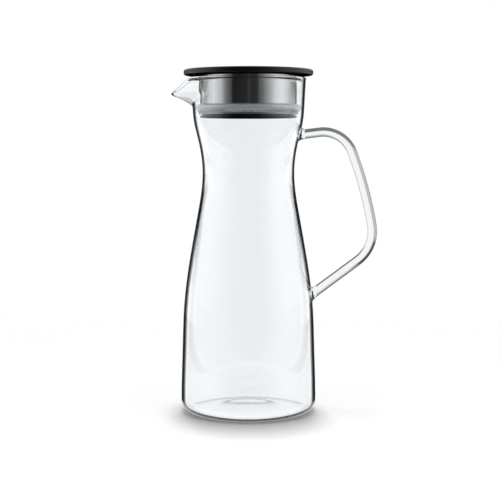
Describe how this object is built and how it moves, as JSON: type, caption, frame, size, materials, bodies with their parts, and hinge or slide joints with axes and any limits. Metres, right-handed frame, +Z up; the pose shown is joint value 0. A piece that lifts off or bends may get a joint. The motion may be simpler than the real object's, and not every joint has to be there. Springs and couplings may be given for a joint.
{
  "type": "carafe",
  "caption": "Waisted glass carafe with a pulled spout, a bent glass rod handle and a flat black lid on a slotted straining stopper that lifts out of the neck.",
  "frame": {"origin": "centre of the flat foot ring that the jug stands on, on the jug's axis", "axes": "+Z up along the jug's axis, -X towards the spout, +X towards the handle"},
  "size_m": [0.1594, 0.1052, 0.265],
  "materials": {
    "clear_glass": "clear borosilicate, fire polished",
    "black_plastic": "fine matte moulding",
    "polished_steel": "polished stainless steel",
    "grey_silicone": "smooth matte silicone"
  },
  "bodies": {
    "jug": {"glass_body": "clear_glass", "glass_handle": "clear_glass"},
    "strainer": {"strainer_frame": "black_plastic", "steel_band": "polished_steel", "seal_ring": "grey_silicone", "retaining_ring": "black_plastic", "strainer_disc": "polished_steel"},
    "lid": {"lid_cap": "black_plastic", "shutter_sleeve": "black_plastic"}
  },
  "joints": [
    {"name": "stopper_lift", "type": "slide", "parent": "jug", "child": "strainer", "axis": [0, 0, 1], "range_m": [0, 0.05]},
    {"name": "lid_turn", "type": "hinge", "parent": "strainer", "child": "lid", "pos_m": [0, 0, 0.2608], "axis": [0, 0, 1], "continuous": true}
  ]
}
